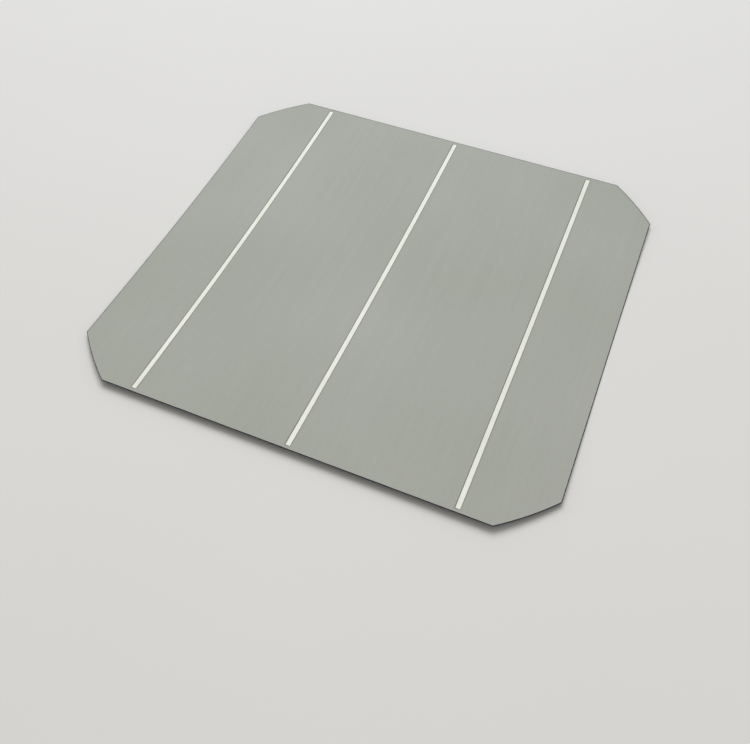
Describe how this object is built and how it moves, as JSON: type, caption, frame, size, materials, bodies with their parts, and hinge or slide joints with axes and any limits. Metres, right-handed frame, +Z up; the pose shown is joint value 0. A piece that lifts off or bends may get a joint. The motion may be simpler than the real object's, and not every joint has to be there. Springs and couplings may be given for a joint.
{
  "type": "solar cell",
  "caption": "Bare silicon solar cell: thin, slightly bowed square wafer with rounded corners, aluminium rear with silver busbars, and a fine silver grid on its dark blue sunny side.",
  "frame": {"origin": "middle of the underside, below the middle of the wafer", "axes": "+Z up and out of the rear side, X across the busbars, Y along them"},
  "size_m": [0.156, 0.156, 0.0022],
  "materials": {
    "coated_silicon": "satin, dark blue",
    "fired_aluminium": "matt grey",
    "fired_silver": "matt, creamy white"
  },
  "bodies": {
    "root": {"silicon_wafer": "coated_silicon", "rear_aluminium": "fired_aluminium", "rear_busbar_left": "fired_silver", "rear_busbar_centre": "fired_silver", "rear_busbar_right": "fired_silver", "front_grid": "fired_silver"}
  },
  "joints": []
}
